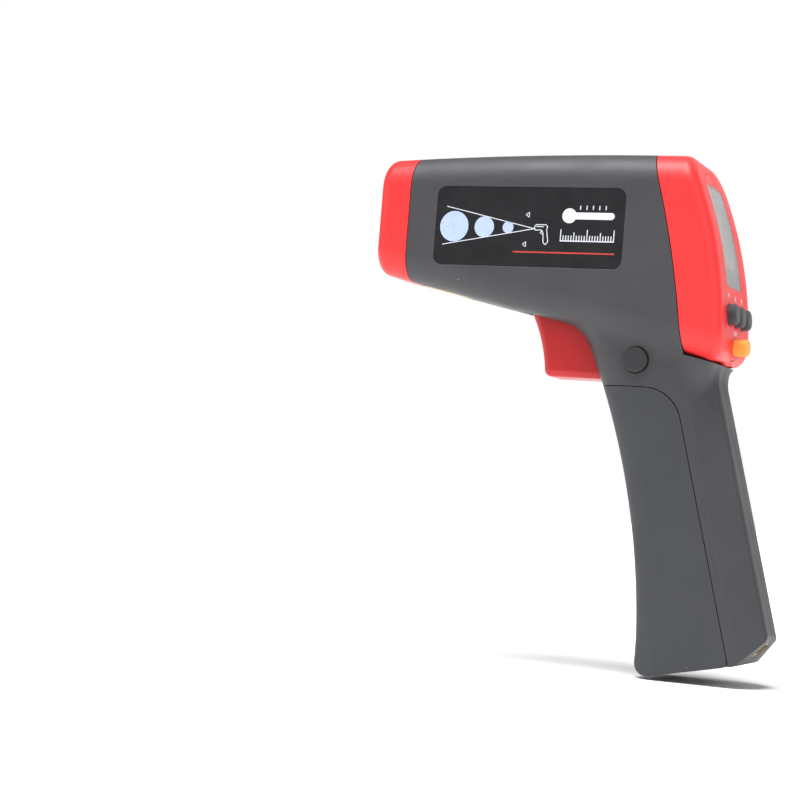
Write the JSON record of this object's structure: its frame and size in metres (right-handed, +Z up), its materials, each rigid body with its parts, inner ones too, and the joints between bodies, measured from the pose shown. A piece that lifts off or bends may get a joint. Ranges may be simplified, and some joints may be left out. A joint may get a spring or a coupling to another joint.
{
  "type": "infrared thermometer",
  "caption": "Pistol-shaped infrared thermometer with a lens and laser opening at the muzzle, a display with keys at the back, a trigger, and a battery door in the handle.",
  "frame": {"origin": "centre of the bounding box in X and Y, at the lowest point of the handle's foot", "axes": "X along the optical axis with the muzzle towards -X and the display towards +X; Y across, with the holder's left side at -Y; +Z up from the handle's foot to the barrel"},
  "size_m": [0.1544, 0.0496, 0.184],
  "materials": {
    "case_plastic": "matte speckled soft-touch moulding",
    "door_plastic": "matte moulding",
    "bezel_plastic": "satin red moulding",
    "trigger_plastic": "satin red moulding",
    "key_rubber": "matte key caps",
    "orange_rubber": "matte orange key cap",
    "window_clear": "clear polished window",
    "lcd_glass": "pale grey display cell",
    "white_plastic": "plain white moulding",
    "board_green": "solder-masked board",
    "keymat_rubber": "soft moulded mat",
    "inner_black": "matte black moulding",
    "lens_clear": "clear fresnel-free infrared lens",
    "bright_metal": "plain bright metal",
    "screw_steel": "blackened steel",
    "laser_brass": "plain brass",
    "laser_glass": "clear cover",
    "plunger_red": "moulded plunger",
    "pad_foam": "soft pad",
    "release_plastic": "matte moulding",
    "battery_can": "printed sleeve over a metal can",
    "lead_black": "insulated wire",
    "lead_red": "insulated wire",
    "side_label": null,
    "under_label": "pale film sticker"
  },
  "bodies": {
    "housing": {"left_shell": "case_plastic", "right_shell": "case_plastic", "case_screws": "screw_steel", "front_bezel": "bezel_plastic", "rear_bezel": "bezel_plastic", "display_faceplate": "bezel_plastic", "lcd_window": "window_clear", "lcd_module": "lcd_glass", "lcd_backlight": "white_plastic", "lcd_frame": "white_plastic", "display_board": "board_green", "keymat": "keymat_rubber", "optics_tube": "inner_black", "ir_lens": "lens_clear", "lens_ring": "bright_metal", "thermopile": "bright_metal", "sensor_board": "board_green", "laser_module": "laser_brass", "laser_window": "laser_glass", "main_board": "board_green", "controller_chip": "inner_black", "buzzer": "inner_black", "microswitch": "inner_black", "trigger_pin": "bright_metal", "trigger_spring": "bright_metal", "hinge_pin": "bright_metal", "release_spring": "bright_metal", "battery": "battery_can", "battery_snap": "inner_black", "battery_cradle": "inner_black", "battery_lead_black": "lead_black", "battery_lead_red": "lead_red", "board_socket": "white_plastic", "display_socket": "white_plastic", "ribbon": "inner_black", "tripod_insert": "laser_brass", "left_label": "side_label", "right_label": "side_label", "underside_label": "under_label"},
    "trigger": {"trigger": "trigger_plastic"},
    "switch_plunger": {"switch_plunger": "plunger_red"},
    "key_left": {"key_left": "key_rubber"},
    "key_middle": {"key_middle": "key_rubber"},
    "key_right": {"key_right": "key_rubber"},
    "key_orange": {"key_orange": "orange_rubber"},
    "release_button_left": {"release_button_left": "release_plastic"},
    "release_button_right": {"release_button_right": "release_plastic"},
    "battery_door": {"battery_door": "door_plastic", "door_pad": "pad_foam"}
  },
  "joints": [
    {"name": "trigger_pull", "type": "hinge", "parent": "housing", "child": "trigger", "pos_m": [-0.01218, 0, 0.13435], "axis": [0, -1, 0], "range_deg": [0, 6], "stiffness_Nm_per_rad": 0.6, "springref_deg": -2.86, "deforming": ["trigger_spring"]},
    {"name": "switch_press", "type": "slide", "parent": "housing", "child": "switch_plunger", "axis": [0, 0, 1], "range_m": [0, 0.00084]},
    {"name": "key_left_press", "type": "slide", "parent": "housing", "child": "key_left", "axis": [-0.9967, 0, -0.0813], "range_m": [0, 0.0008], "stiffness_N_per_m": 800},
    {"name": "key_middle_press", "type": "slide", "parent": "housing", "child": "key_middle", "axis": [-0.9967, 0, -0.0813], "range_m": [0, 0.0008], "stiffness_N_per_m": 800},
    {"name": "key_right_press", "type": "slide", "parent": "housing", "child": "key_right", "axis": [-0.9967, 0, -0.0813], "range_m": [0, 0.0008], "stiffness_N_per_m": 800},
    {"name": "key_orange_press", "type": "slide", "parent": "housing", "child": "key_orange", "axis": [-0.9999, 0, -0.01], "range_m": [0, 0.0008], "stiffness_N_per_m": 800},
    {"name": "release_left_press", "type": "slide", "parent": "housing", "child": "release_button_left", "axis": [0, 1, 0], "range_m": [0, 0.0015], "stiffness_N_per_m": 600, "deforming": ["release_spring"]},
    {"name": "release_right_press", "type": "slide", "parent": "housing", "child": "release_button_right", "axis": [0, -1, 0], "range_m": [0, 0.0015], "stiffness_N_per_m": 600, "deforming": ["release_spring"]},
    {"name": "door_open", "type": "hinge", "parent": "housing", "child": "battery_door", "pos_m": [0.06319, 0, 0.00804], "axis": [0, -1, 0], "range_deg": [0, 65]}
  ],
  "couplings": [
    {"joint": "switch_press", "follows": "trigger_pull", "m_per_rad": 0.008}
  ]
}
